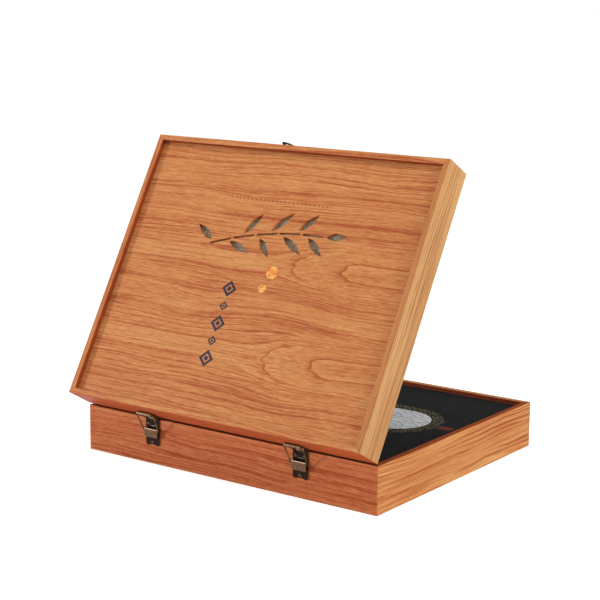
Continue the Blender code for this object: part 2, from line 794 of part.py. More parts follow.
def build_latch(base_walls, lid_walls, lid_pivot, domed_screw):
    hook_plate = latch_plate("latch_hook_plate", hook_pivot_z, lid_pivot)
    stud_plate = latch_plate("latch_stud_plate", stud_z)
    headed_pin("latch_rivet", hook_pivot_z, lid_walls, [hook_plate], lid_pivot)
    headed_pin("latch_stud", stud_z, base_walls, [stud_plate])
    spread = latch_screw_spread / 2
    seat = before(latch_plate_front + joint_gap)
    for prefix, z, walls, plate, carrier in (
            ("latch_hook", hook_pivot_z, lid_walls, hook_plate, lid_pivot),
            ("latch_stud", stud_z, base_walls, stud_plate, None)):
        column = latch_x + latch_screw_x
        places = [(column, z - spread), (column, z + spread)]
        screws(f"{prefix}_screw", places, seat, away_from_front, domed_screw, carrier)
        screw_holes(f"{prefix}_holes", places, "front", walls, [plate], carrier)
    hook_place = (latch_x, before((hook_back + hook_front) / 2), hook_pivot_z)
    hook_pivot = pivot("latch_hook_pivot", hook_place, (0.0, hook_open_angle, 0.0))
    hang(hook_pivot, lid_pivot)
    hook = flat("latch_hook", hook_outline(), hook_thickness, hook_place, front_turn, antique_brass)
    hole = cylinders("latch_hook_hole", [(latch_x, hook_pivot_z)], rivet_radius + rivet_clearance,
                     before(hook_back - cut_overrun), before(hook_front + cut_overrun))
    boolean(hook, hole)
    hang(hook, hook_pivot)
    hang(hole, hook_pivot)


def build_box():
    lid_pivot = pivot("lid_pivot", (0.0, behind(hinge_axis_standoff), hinge_axis_z),
                      (lid_open_angle, 0.0, 0.0))
    base_walls = build_base()
    lid_walls = build_lid(lid_pivot)
    domed_screw = screw_mesh()
    for side, sign in (("left", -1), ("right", 1)):
        build_hinge(side, sign * hinge_spacing / 2, base_walls, lid_walls, lid_pivot, domed_screw)
    build_latch(base_walls, lid_walls, lid_pivot, domed_screw)


build_box()
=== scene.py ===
import math

import bmesh
import bpy
from mathutils import Matrix, Vector


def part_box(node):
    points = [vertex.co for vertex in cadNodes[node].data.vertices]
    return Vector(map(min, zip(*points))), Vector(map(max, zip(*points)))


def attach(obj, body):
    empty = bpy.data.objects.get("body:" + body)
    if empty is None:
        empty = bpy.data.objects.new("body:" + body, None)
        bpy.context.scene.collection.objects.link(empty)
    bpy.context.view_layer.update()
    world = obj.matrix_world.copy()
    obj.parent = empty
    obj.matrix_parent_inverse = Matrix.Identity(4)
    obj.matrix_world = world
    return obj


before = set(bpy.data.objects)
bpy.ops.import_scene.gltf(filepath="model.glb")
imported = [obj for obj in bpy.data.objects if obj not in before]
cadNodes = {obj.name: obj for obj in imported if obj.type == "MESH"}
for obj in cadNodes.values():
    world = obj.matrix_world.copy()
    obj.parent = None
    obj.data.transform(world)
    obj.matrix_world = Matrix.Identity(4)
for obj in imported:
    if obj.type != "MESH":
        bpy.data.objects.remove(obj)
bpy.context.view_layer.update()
millimetre = 0.001
print("frame loaded:", len(cadNodes), "solids")

# The lid is stored open, so its patterns are worked out in the closed lid's own millimetres.
lidHinge = {"y": -144.2, "z": 47.6, "openDegrees": 60.0}


def linearColor(hexText):  # sRGB hex to the linear values that sockets take
    shares = [int(hexText[i:i + 2], 16) / 255 for i in (1, 3, 5)]
    return [s / 12.92 if s <= 0.04045 else ((s + 0.055) / 1.055) ** 2.4 for s in shares] + [1.0]


def addNode(tree, kind, settings=None, inputs=None, stops=None):  # one node with its values and links
    node = tree.nodes.new("ShaderNode" + kind)
    for name, value in (settings or {}).items():
        setattr(node, name, value)
    for name, value in (inputs or {}).items():
        if isinstance(value, bpy.types.Node):
            value = value.outputs[0]
        if isinstance(value, bpy.types.NodeSocket):
            tree.links.new(value, node.inputs[name])
        else:
            node.inputs[name].default_value = value
    for index, (position, hexText) in enumerate(stops or []):
        elements = node.color_ramp.elements
        element = elements[index] if index < 2 else elements.new(position)
        element.position = position
        element.color = linearColor(hexText)
    return node


def threeStops(look, middleAt=0.5):  # a ramp from a look's dark colour to its light one
    return (0.0, look["dark"]), (middleAt, look["middle"]), (1.0, look["light"])


def newMaterial(name):
    material = bpy.data.materials.new(name)
    material.use_nodes = True
    material.node_tree.nodes.clear()
    return material, material.node_tree


def finishMaterial(tree, shader):
    addNode(tree, "OutputMaterial", inputs={"Surface": shader})


def boardCoordinates(tree, onLid):  # the object's own coordinates in millimetres, with the lid closed
    turn = -math.radians(lidHinge["openDegrees"]) if onLid else 0.0
    hinge = Vector((0, lidHinge["y"], lidHinge["z"]))
    shift = hinge - Matrix.Rotation(turn, 3, "X") @ hinge
    place = addNode(tree, "TexCoord")
    return addNode(tree, "Mapping", inputs={
        "Vector": place.outputs["Object"], "Location": shift, "Rotation": (turn, 0, 0),
        "Scale": (1 / millimetre, 1 / millimetre, 1 / millimetre)})


def dress(names, material):
    for name in names:
        mesh = cadNodes[name].data
        mesh.materials.clear()
        mesh.materials.append(material)


# Wood: elm veneer on 6 mm fibreboard, sanded, stained and sprayed with satin lacquer.
# It gives soft streaks a few millimetres wide, arches where the cut runs flat through the rings,
# a slight ripple, and a broad soft sheen with no sharp reflection.
veneer = {
    "light": "#D89B61", "middle": "#C67D48", "dark": "#A8522D",
    "plainTone": 0.59,  # tone of the wood between its lines, from 0 for dark to 1 for light
    # What each layer of the pattern adds to that tone.
    "shares": {"band": 0.38, "streak": 0.30, "drift": 0.40, "fibre": 1.35, "figure": 0.60},
    "seedStep": 100.0, "bandSeed": 3.7, "streakSeed": 5.1,  # these keep the boards' patterns apart
    "bandWidth": 15.0,  # mm from one broad ring to the next
    "streakWidth": 2.8,  # mm, the finer streaks between them
    "lineWidth": 8.5, "lineWander": 2.4,  # mm between the dark lines where rings end, and how they wander
    "lineShare": 0.46,  # how dark they are
    "lineStart": 0.64, "lineFull": 0.93,  # where in a ring they start to darken and are darkest
    "fadeLength": 80.0, "fadeWidth": 10.0, "fadeRange": (0.34, 0.58),  # mm, how the lines come and go
    "thinWidth": 1.7, "thinLength": 150.0,  # mm, the finest dark lines
    "thinShare": 0.36, "thinRange": (0.46, 0.30),  # how dark they are, and the noise values from none to full
    "fibreWidth": 0.8,  # mm; real fibres are finer than a pixel, so they are drawn this coarse
    "fibreLength": 20.0,  # mm
    "fibreBend": 0.2, "thinBend": 0.7,  # how much the fibres and the thin lines follow the rings
    "crinkleLength": 8.0, "crinkleHeight": 0.35,  # mm, the small waves in every fibre
    "figureWidth": 1.7, "figureLength": 8.0,  # mm, the short ripples across the streaks
    "poreWidth": 0.9, "poreLength": 7.0,  # mm; real pores are 0.2 mm wide, drawn coarser to show
    "poreRange": (0.30, 0.42), "poreShade": 0.86,  # noise values that make a pore, and how dark it is
    "waveLength": 150.0, "waveWidth": 60.0, "waveHeight": 8.0,  # mm, the slow wander of the grain
    "rippleLength": 34.0, "rippleWidth": 11.0, "rippleHeight": 1.3,  # mm
    "rippleRange": (0.35, 0.62), "rippleLeast": 0.3,  # it comes and goes with the slow drift, as on real elm
    "driftLength": 120.0, "driftWidth": 26.0,  # mm, slow change of tone
    "roughness": 0.50, "roughnessSpread": (0.06, -0.04),  # dark grain is duller than light grain
    "specular": 0.18, "bump": 0.00012, "bumpStrength": 0.5,  # bump in metres
    "boxHalf": (175.0, 142.5, 0.0),  # mm from the middle to the outer faces
    "cornerHighlight": 0.8, "cornerHighlightTint": (1.22, 1.26, 1.30),  # mm of each upright corner that is made paler: a painted highlight on its rounded edge
    "faceDepth": 0.35, "faceShadeAndTone": (1.0, 1.0, 1.0),  # mm of the lid's outer faces, and their tint: painted shade on the back wall, a paler yellower right wall
    "insideShade": "#98421C", "insideShadeTones": (0.72, 1.22),  # inner faces are a darker red-brown: painted shade inside the box and the lid's recess
    "boardInset": 5.9,  # mm from the outer face to where that painted shade begins
    "rimStainAndShading": "#A85420", "rimStart": 46.65,  # the base's upper edges are stained too, from this height in mm; the back wall's rim is painted shade and the front wall's a painted highlight
}

# Curve of the rings across the lid panel: two crests, round which the grain closes in long arches.
panelRings = {
    "start": -165.0, "span": 360.0,  # mm across the panel, in the grain's own measure
    "curve": ((0.0, -0.60), (0.175, 0.0), (0.258, 0.256), (0.319, 0.472), (0.397, 0.60), (0.522, 0.328),
              (0.644, 0.60), (0.725, 0.424), (0.842, 0.056), (1.0, -0.44)),
    "height": 125.0,  # mm that one step of the curve stands for
    "trough": 0.35, "crest": 0.60,  # only the crests open into arches
    "archStart": 11.0, "archEnd": 116.0, "archRise": 20.0,  # mm along the grain, and how far the arches open
    "tipLength": 30.0, "tipWidth": 6.0, "tipMove": 9.0, "tipDetail": 1.5,  # mm, the ragged edge of the arches
    "plainShare": 0.85,  # how much the fine lines fade inside the arches
    "edgeShare": 0.45,  # how dark the soft shade is outside each arch's line
    "edgeStart": 0.30,  # where in a ring it starts
    "edgeFade": (-30.0, 20.0),  # mm before and after archStart in which that shade comes in
}

# Marks on the panel: a column of plain lozenges in dark ink and a row of fine burnt dashes, all in mm.
panelMarks = {
    "ink": "#2B2C3C", "inkWear": (0.3, 0.5, 0.82),  # ink is thinner on dark fibres, down to the last share
    "columnX": -26.5, "columnTop": -1.0, "columnBottom": -91.0, "columnPitch": 18.0,
    "wideHalf": 8.8, "tallHalf": 8.6, "smallShare": 0.60, "ringInner": 0.56, "coreOuter": 0.34,
    "burnt": "#8C4A34", "burntShare": 0.8,
    "rowY": 84.5, "rowHalfHeight": 0.75, "rowStart": -62.0, "rowEnd": 58.0, "dashPitch": 5.0, "dashHalf": 1.5,
}


def grainNoise(tree, grain, length, width, detail, roughness=0.5, depth=7.3):  # noise along the grain, in mm
    stretch = (1 / length, 1 / width, depth)
    stretched = addNode(tree, "VectorMath", {"operation": "MULTIPLY"}, {0: grain, 1: stretch})
    return addNode(tree, "TexNoise", {"noise_dimensions": "3D"}, {
        "Vector": stretched, "Scale": 1.0, "Detail": detail, "Roughness": roughness})


def grainField(tree, place, look, along, across, seed):  # places along and across the grain, and its drift
    u = addNode(tree, "VectorMath", {"operation": "DOT_PRODUCT"}, {0: place, 1: along}).outputs["Value"]
    v = addNode(tree, "VectorMath", {"operation": "DOT_PRODUCT"}, {0: place, 1: across}).outputs["Value"]
    grain = addNode(tree, "CombineXYZ", inputs={"X": u, "Y": v, "Z": float(seed)})
    drift = grainNoise(tree, grain, look["driftLength"], look["driftWidth"], 1.0)
    wave = grainNoise(tree, grain, look["waveLength"], look["waveWidth"], 1.0)
    ripple = grainNoise(tree, grain, look["rippleLength"], look["rippleWidth"], 1.0)
    waved = addNode(tree, "Math", {"operation": "MULTIPLY_ADD"}, {0: wave, 1: 2 * look["waveHeight"], 2: v})
    low, high = look["rippleRange"]
    rippleShare = addNode(tree, "MapRange", inputs={
        "Value": drift, "From Min": low, "From Max": high, "To Min": look["rippleLeast"], "To Max": 1.0})
    rippleMove = addNode(tree, "Math", {"operation": "MULTIPLY"}, {0: ripple, 1: rippleShare})
    rings = addNode(tree, "Math", {"operation": "MULTIPLY_ADD"}, {
        0: rippleMove, 1: 2 * look["rippleHeight"], 2: waved})
    return u, grain, rings, drift


def archedRings(tree, u, grain, rings):  # bends the straight rings of a board into the panel's long arches
    share = addNode(tree, "MapRange", inputs={
        "Value": rings, "From Min": panelRings["start"],
        "From Max": panelRings["start"] + panelRings["span"]})
    curve = addNode(tree, "FloatCurve", inputs={"Value": share})
    mapping = curve.mapping
    mapping.use_clip = False
    points = mapping.curves[0].points
    for index, (x, y) in enumerate(panelRings["curve"]):
        point = points[index] if index < 2 else points.new(x, y)
        point.location = (x, y)
    mapping.update()
    ragged = grainNoise(tree, grain, panelRings["tipLength"], panelRings["tipWidth"], panelRings["tipDetail"])
    centred = addNode(tree, "Math", {"operation": "SUBTRACT"}, {0: ragged, 1: 0.5})
    u = addNode(tree, "Math", {"operation": "MULTIPLY_ADD"}, {0: centred, 1: 2 * panelRings["tipMove"], 2: u})
    rise = addNode(tree, "MapRange", {"interpolation_type": "SMOOTHSTEP"}, {
        "Value": u, "From Min": panelRings["archStart"], "From Max": panelRings["archEnd"],
        "To Max": panelRings["archRise"]})
    onCrest = addNode(tree, "MapRange", inputs={
        "Value": curve, "From Min": panelRings["trough"], "From Max": panelRings["crest"]})
    opening = addNode(tree, "Math", {"operation": "MULTIPLY"}, {0: rise, 1: onCrest})
    clear = addNode(tree, "MapRange", inputs={
        "Value": opening, "From Max": panelRings["archRise"],
        "To Min": 1.0, "To Max": 1.0 - panelRings["plainShare"]})
    before, after = panelRings["edgeFade"]
    along = addNode(tree, "MapRange", inputs={
        "Value": u, "From Min": panelRings["archStart"] + before,
        "From Max": panelRings["archStart"] + after})
    arched = addNode(tree, "Math", {"operation": "MULTIPLY"}, {0: along, 1: onCrest})
    rings = addNode(tree, "Math", {"operation": "MULTIPLY_ADD"}, {
        0: curve, 1: panelRings["height"], 2: opening})
    return rings, clear, arched


def woodTone(tree, place, look, along, across, seed, isPanel):  # 0 dark to 1 light, with fibres and pores
    u, grain, straight, drift = grainField(tree, place, look, along, across, seed)
    rings, clear, arched = straight, 1.0, None
    if isPanel:
        rings, clear, arched = archedRings(tree, u, grain, straight)
    # The fibres run with the board's waves and bend a little with the rings, and the thin lines bend more.
    crinkle = grainNoise(tree, grain, look["crinkleLength"], look["crinkleLength"] / 2, 0.0)
    wavy = addNode(tree, "Math", {"operation": "MULTIPLY_ADD"}, {
        0: crinkle, 1: 2 * look["crinkleHeight"], 2: straight})
    bent = {}
    for kind in ("fibre", "thin"):
        lift = addNode(tree, "Math", {"operation": "MULTIPLY_ADD"}, {
            0: rings, 1: look[kind + "Bend"], 2: seed * look["seedStep"]})
        bent[kind] = addNode(tree, "CombineXYZ", inputs={"X": u, "Y": wavy, "Z": lift})
    layers = {"drift": drift}
    for kind, detail, roughness in (("band", 2.0, 0.6), ("streak", 1.0, 0.5)):
        wave = addNode(tree, "Math", {"operation": "MULTIPLY_ADD"}, {
            0: rings, 1: 1 / look[kind + "Width"], 2: seed * look[kind + "Seed"]})
        layers[kind] = addNode(tree, "TexNoise", {"noise_dimensions": "1D"}, {
            "W": wave, "Scale": 1.0, "Detail": detail, "Roughness": roughness})
    for kind, source, detail, roughness in (
            ("fibre", "fibre", 2.0, 0.6), ("figure", "fibre", 1.0, 0.5), ("pore", "fibre", 1.0, 0.5),
            ("thin", "thin", 0.0, 0.5)):
        width = look[kind + "Width"]
        layers[kind] = grainNoise(
            tree, bent[source], look[kind + "Length"], width, detail, roughness, 1 / width)
    thinLine = addNode(tree, "MapRange", {"interpolation_type": "SMOOTHSTEP"}, {
        "Value": layers["thin"], "From Min": look["thinRange"][0], "From Max": look["thinRange"][1],
        "To Max": clear})
    # Each ring darkens slowly and ends in one sharp line, and the lines fade in and out along the grain.
    spread = addNode(tree, "Math", {"operation": "MULTIPLY"}, {0: layers["band"], 1: look["lineWander"]})
    lineWave = addNode(tree, "Math", {"operation": "MULTIPLY_ADD"}, {
        0: rings, 1: 1 / look["lineWidth"], 2: spread})
    phase = addNode(tree, "Math", {"operation": "FRACT"}, {0: lineWave})
    darkening = addNode(tree, "MapRange", {"interpolation_type": "SMOOTHSTEP"}, {
        "Value": phase, "From Min": look["lineStart"], "From Max": look["lineFull"]})
    ending = addNode(tree, "MapRange", inputs={
        "Value": phase, "From Min": look["lineFull"], "From Max": 1.0, "To Min": 1.0, "To Max": 0.0})
    line = addNode(tree, "Math", {"operation": "MULTIPLY"}, {0: darkening, 1: ending})
    fading = addNode(tree, "MapRange", inputs={
        "Value": grainNoise(tree, grain, look["fadeLength"], look["fadeWidth"], 1.0),
        "From Min": look["fadeRange"][0], "From Max": look["fadeRange"][1]})
    if isPanel:  # the arches' own lines never fade, and a soft shade lies outside each
        fading = addNode(tree, "Math", {"operation": "MAXIMUM"}, {0: fading, 1: arched})
        shade = addNode(tree, "MapRange", {"interpolation_type": "SMOOTHSTEP"}, {
            "Value": phase, "From Min": panelRings["edgeStart"], "From Max": look["lineFull"],
            "To Max": panelRings["edgeShare"]})
        shade = addNode(tree, "Math", {"operation": "MULTIPLY"}, {0: shade, 1: ending})
        line = addNode(tree, "Math", {"operation": "MULTIPLY_ADD"}, {0: shade, 1: arched, 2: line})
    lineTone = addNode(tree, "Math", {"operation": "MULTIPLY"}, {0: line, 1: fading})
    tone = addNode(tree, "Math", {"operation": "MULTIPLY_ADD"}, {
        0: lineTone, 1: -look["lineShare"], 2: look["plainTone"]})
    tone = addNode(tree, "Math", {"operation": "MULTIPLY_ADD"}, {0: thinLine, 1: -look["thinShare"], 2: tone})
    for kind, share in look["shares"].items():
        centred = addNode(tree, "Math", {"operation": "SUBTRACT"}, {0: layers[kind], 1: 0.5})
        tone = addNode(tree, "Math", {"operation": "MULTIPLY_ADD"}, {0: centred, 1: share, 2: tone})
    poreShade = addNode(tree, "MapRange", inputs={
        "Value": layers["pore"], "From Min": look["poreRange"][0], "From Max": look["poreRange"][1],
        "To Min": look["poreShade"], "To Max": 1.0})
    return tone, layers["fibre"], poreShade


def markMasks(tree, place):  # where the lozenges and the dashes are, each 1 inside
    parts = addNode(tree, "SeparateXYZ", inputs={"Vector": place})
    x, y = parts.outputs["X"], parts.outputs["Y"]
    marks = panelMarks
    pitch, top, bottom = marks["columnPitch"], marks["columnTop"], marks["columnBottom"]
    centred = addNode(tree, "Math", {"operation": "SUBTRACT"}, {0: x, 1: marks["columnX"]})
    sideways = addNode(tree, "Math", {"operation": "ABSOLUTE"}, {0: centred})
    steps = addNode(tree, "Math", {"operation": "MULTIPLY_ADD"}, {0: y, 1: 1 / pitch, 2: -top / pitch})
    phase = addNode(tree, "Math", {"operation": "FRACT"}, {0: steps})
    half = addNode(tree, "Math", {"operation": "SUBTRACT"}, {0: phase, 1: 0.5})
    upright = addNode(tree, "Math", {"operation": "ABSOLUTE"}, {0: half})
    number = addNode(tree, "Math", {"operation": "FLOOR"}, {0: steps})
    # Every second lozenge is small.
    odd = addNode(tree, "Math", {"operation": "PINGPONG"}, {0: number, 1: 1.0})
    size = addNode(tree, "MapRange", inputs={"Value": odd, "To Min": marks["smallShare"], "To Max": 1.0})
    wide = addNode(tree, "Math", {"operation": "DIVIDE"}, {0: sideways, 1: marks["wideHalf"]})
    lozenge = addNode(tree, "Math", {"operation": "MULTIPLY_ADD"}, {
        0: upright, 1: pitch / marks["tallHalf"], 2: wide})
    scaled = addNode(tree, "Math", {"operation": "DIVIDE"}, {0: lozenge, 1: size})
    outer = addNode(tree, "Math", {"operation": "LESS_THAN"}, {0: scaled, 1: 1.0})
    inner = addNode(tree, "Math", {"operation": "GREATER_THAN"}, {0: scaled, 1: marks["ringInner"]})
    core = addNode(tree, "Math", {"operation": "LESS_THAN"}, {0: scaled, 1: marks["coreOuter"]})
    ringOrCore = addNode(tree, "Math", {"operation": "MAXIMUM"}, {0: inner, 1: core})
    shape = addNode(tree, "Math", {"operation": "MULTIPLY"}, {0: outer, 1: ringOrCore})
    inColumn = addNode(tree, "Math", {"operation": "COMPARE"}, {
        0: y, 1: (top + bottom) / 2, 2: (top - bottom) / 2})
    column = addNode(tree, "Math", {"operation": "MULTIPLY"}, {0: shape, 1: inColumn})
    start, end = marks["rowStart"], marks["rowEnd"]
    inRow = addNode(tree, "Math", {"operation": "COMPARE"}, {
        0: y, 1: marks["rowY"], 2: marks["rowHalfHeight"]})
    inRun = addNode(tree, "Math", {"operation": "COMPARE"}, {
        0: x, 1: (start + end) / 2, 2: (end - start) / 2})
    dashPhase = addNode(tree, "Math", {"operation": "PINGPONG"}, {0: x, 1: marks["dashPitch"] / 2})
    dash = addNode(tree, "Math", {"operation": "LESS_THAN"}, {0: dashPhase, 1: marks["dashHalf"]})
    dashRow = addNode(tree, "Math", {"operation": "MULTIPLY"}, {0: inRow, 1: inRun})
    row = addNode(tree, "Math", {"operation": "MULTIPLY"}, {0: dashRow, 1: dash})
    return column, row


def markPanel(tree, place, fibres, color):
    column, row = markMasks(tree, place)
    low, high, least = panelMarks["inkWear"]
    wornInk = addNode(tree, "MapRange", inputs={
        "Value": fibres, "From Min": low, "From Max": high, "To Min": least, "To Max": 1.0})
    inked = addNode(tree, "Math", {"operation": "MULTIPLY"}, {0: column, 1: wornInk})
    burn = addNode(tree, "Math", {"operation": "MULTIPLY"}, {0: row, 1: panelMarks["burntShare"]})
    for share, hexText in ((inked, panelMarks["ink"]), (burn, panelMarks["burnt"])):
        color = addNode(tree, "MixRGB", inputs={0: share, 1: color, 2: linearColor(hexText)})
    return color


def shadeAndStainBoard(tree, place, look, tone, color, onLid):  # painted highlights on the upright corners, painted shade on the inner faces, tinted outer faces on the lid, and the base's rim colours
    reach = addNode(tree, "VectorMath", {"operation": "ABSOLUTE"}, {0: place})
    inset = addNode(tree, "VectorMath", {"operation": "SUBTRACT"}, {0: look["boxHalf"], 1: reach})
    parts = addNode(tree, "SeparateXYZ", inputs={"Vector": inset})
    x, y = parts.outputs["X"], parts.outputs["Y"]
    depth = addNode(tree, "Math", {"operation": "MINIMUM"}, {0: x, 1: y})
    fromCorner = addNode(tree, "Math", {"operation": "MAXIMUM"}, {0: x, 1: y})
    # painted highlight along each upright corner
    atCorner = addNode(tree, "Math", {"operation": "LESS_THAN"}, {0: fromCorner, 1: look["cornerHighlight"]})
    highlighted = addNode(tree, "VectorMath", {"operation": "MULTIPLY"}, {0: color, 1: look["cornerHighlightTint"]})
    color = addNode(tree, "MixRGB", inputs={0: atCorner, 1: color, 2: highlighted})
    # painted shade: the inner faces take a darker red-brown over the grain
    inside = addNode(tree, "Math", {"operation": "GREATER_THAN"}, {0: depth, 1: look["boardInset"]})
    low, high = look["insideShadeTones"]
    grainy = addNode(tree, "MapRange", inputs={"Value": tone, "To Min": low, "To Max": high})
    shadedInside = addNode(tree, "VectorMath", {"operation": "SCALE"}, {
        0: linearColor(look["insideShade"])[:3], "Scale": grainy})
    color = addNode(tree, "MixRGB", inputs={0: inside, 1: color, 2: shadedInside})
    # painted shade darkens the lid's back wall outside; the right wall's outer face is made paler and
    # yellower
    if onLid:
        onFace = addNode(tree, "Math", {"operation": "LESS_THAN"}, {0: depth, 1: look["faceDepth"]})
        tinted = addNode(tree, "VectorMath", {"operation": "MULTIPLY"}, {0: color, 1: look["faceShadeAndTone"]})
        return addNode(tree, "MixRGB", inputs={0: onFace, 1: color, 2: tinted}), None
    # the rim colour: stain, with painted shade and painted highlight on some boards
    height = addNode(tree, "SeparateXYZ", inputs={"Vector": place}).outputs["Z"]
    onRim = addNode(tree, "Math", {"operation": "GREATER_THAN"}, {0: height, 1: look["rimStart"]})
    rimStainAndShading = addNode(tree, "VectorMath", {"operation": "SCALE"}, {
        0: linearColor(look["rimStainAndShading"])[:3], "Scale": grainy})
    return addNode(tree, "MixRGB", inputs={0: onRim, 1: color, 2: rimStainAndShading}), onRim


def makeVeneer(name, onLid, along, across, seed, changes, isPanel=False):
    look = {**veneer, **changes}
    material, tree = newMaterial(name)
    place = boardCoordinates(tree, onLid)
    tone, fibres, poreShade = woodTone(tree, place, look, along, across, seed, isPanel)
    wood = addNode(tree, "ValToRGB", inputs={"Fac": tone}, stops=threeStops(look))
    color = addNode(tree, "VectorMath", {"operation": "SCALE"}, {0: wood, "Scale": poreShade})
    if isPanel:
        color, onRim = markPanel(tree, place, fibres, color), None
    else:
        color, onRim = shadeAndStainBoard(tree, place, look, tone, color, onLid)
    dull, shiny = (look["roughness"] + spread for spread in look["roughnessSpread"])
    roughness = addNode(tree, "MapRange", inputs={"Value": tone, "To Min": dull, "To Max": shiny})
    if onRim is not None:  # a stained edge is matt
        roughness = addNode(tree, "Math", {"operation": "MAXIMUM"}, {0: roughness, 1: onRim})
    relief = addNode(tree, "Math", {"operation": "MULTIPLY_ADD"}, {0: tone, 1: 0.5, 2: poreShade})
    bump = addNode(tree, "Bump", inputs={
        "Strength": look["bumpStrength"], "Distance": look["bump"], "Height": relief})
    shader = addNode(tree, "BsdfPrincipled", inputs={
        "Base Color": color, "Roughness": roughness, "Normal": bump, "Specular IOR Level": look["specular"]})
    finishMaterial(tree, shader)
    return material


alongX, alongY = (1, 0, 0), (0, 1, 0)
acrossX, acrossY, acrossPanel = (1.2, 0, 1), (0, 1.2, 1), (0, 1, 0.5)
straighterGrain = {  # the right-hand walls are cut nearer the quarter, with straight lines and little figure
    "fibreLength": 60.0, "figureLength": 16.0, "poreLength": 16.0, "crinkleHeight": 0.15,
    "thinShare": 0.48, "thinWidth": 1.5, "shares": {**veneer["shares"], "figure": 0.30},
}
boards = {  # name: on the lid, along the grain, across it, seed, changes
    # painted shade: a near-black rim for the shade in the gap under the lid
    "base_back_wall": (False, alongX, acrossY, 11, {
        "light": "#E09464", "middle": "#CE7547", "dark": "#AC4E2A", "rimStainAndShading": "#5A1C06", "specular": 0.10}),
    # painted shade on the front wall's inner face, and a painted highlight on its rim
    "base_front_wall": (False, alongX, acrossY, 2, {"insideShade": "#7A2E12", "rimStainAndShading": "#B87848"}),
    "base_left_wall": (False, alongY, acrossX, 3, {}),
    "base_right_wall": (False, alongY, acrossX, 4, {
        "light": "#E9B873", "middle": "#D3884A", "dark": "#AE521C", "rimStainAndShading": "#94461E", **straighterGrain}),
    # painted shade: the back wall's outer face, which faces down, is darkened and reddened
    "lid_back_wall": (True, alongX, acrossY, 5, {"faceShadeAndTone": (0.95, 0.49, 0.31)}),
    "lid_front_wall": (True, alongX, acrossY, 6, {}),
    "lid_left_wall": (True, alongY, acrossX, 7, {}),
    # the right wall's outer face is made paler and yellower than its rim top
    "lid_right_wall": (True, alongY, acrossX, 8, {
        "light": "#CC8D58", "middle": "#BC7745", "dark": "#9C5730", "faceShadeAndTone": (1.22, 1.66, 1.88),
        **straighterGrain}),
}
for boardName, (onLid, along, across, seed, changes) in boards.items():
    dress([boardName], makeVeneer("elm_veneer_lacquered_" + boardName, onLid, along, across, seed, changes))
dress(["lid_panel"], makeVeneer("elm_veneer_lacquered_panel", True, alongX, acrossPanel, 9, {}, isPanel=True))
print("veneered boards dressed:", len(boards) + 1)

# Fibreboard: pressed wood fibre, sawn and left raw. It gives an even brown with fine mottling and no sheen.
fibreboard = {
    "light": "#B08A62", "dark": "#7A5638", "darkAt": 0.45,
    "fleck": 0.9, "cloud": 14.0, "cloudShare": 0.6,  # mm
    "roughness": 0.85, "bump": 0.00008, "bumpStrength": 0.5,
}
# Poplar strip: sawn and brushed with the boards' stain. It gives the same mottling in a dull red-brown.
poplarStrip = {**fibreboard, "light": "#8A4A2A", "dark": "#5A2412"}


def makeFibreboard(name, look):
    material, tree = newMaterial(name)
    place = boardCoordinates(tree, False)
    flecks = addNode(tree, "TexNoise", inputs={"Vector": place, "Scale": 1 / look["fleck"], "Detail": 2.0})
    clouds = addNode(tree, "TexNoise", inputs={"Vector": place, "Scale": 1 / look["cloud"], "Detail": 1.0})
    tone = addNode(tree, "Math", {"operation": "MULTIPLY_ADD"}, {0: clouds, 1: look["cloudShare"], 2: flecks})
    color = addNode(tree, "ValToRGB", inputs={"Fac": tone}, stops=(
        (look["darkAt"], look["dark"]), (1.0, look["light"])))
    bump = addNode(tree, "Bump", inputs={
        "Strength": look["bumpStrength"], "Distance": look["bump"], "Height": flecks})
    shader = addNode(tree, "BsdfPrincipled", inputs={
        "Base Color": color, "Roughness": look["roughness"], "Normal": bump})
    finishMaterial(tree, shader)
    return material


dress(["base_bottom_board"], makeFibreboard("fibreboard_raw", fibreboard))
dress([name for name in cadNodes if name.startswith("cover_ledge_")],
      makeFibreboard("poplar_strip_stained", poplarStrip))

# Linen on the board behind the cut-outs: plain-woven, unbleached, glued down, with black lining paper below.
# It gives a dull grey-brown with single light and dark threads.
linen = {
    "light": "#BDB196", "middle": "#A0937A", "dark": "#71674F", "paper": "#242322",
    "thread": 1.5,  # mm between threads; the real 0.6 mm is under a pixel, so it is drawn coarser
    "threadLength": 25.0,  # mm over which one thread keeps its tone
    "weaveShare": 0.45, "toneRange": (0.95, 1.75),
    "paperZ": 71.5,  # mm, below which the board's faces are lined with paper
    "roughness": 0.9, "bump": 0.0003, "bumpStrength": 0.6,
}


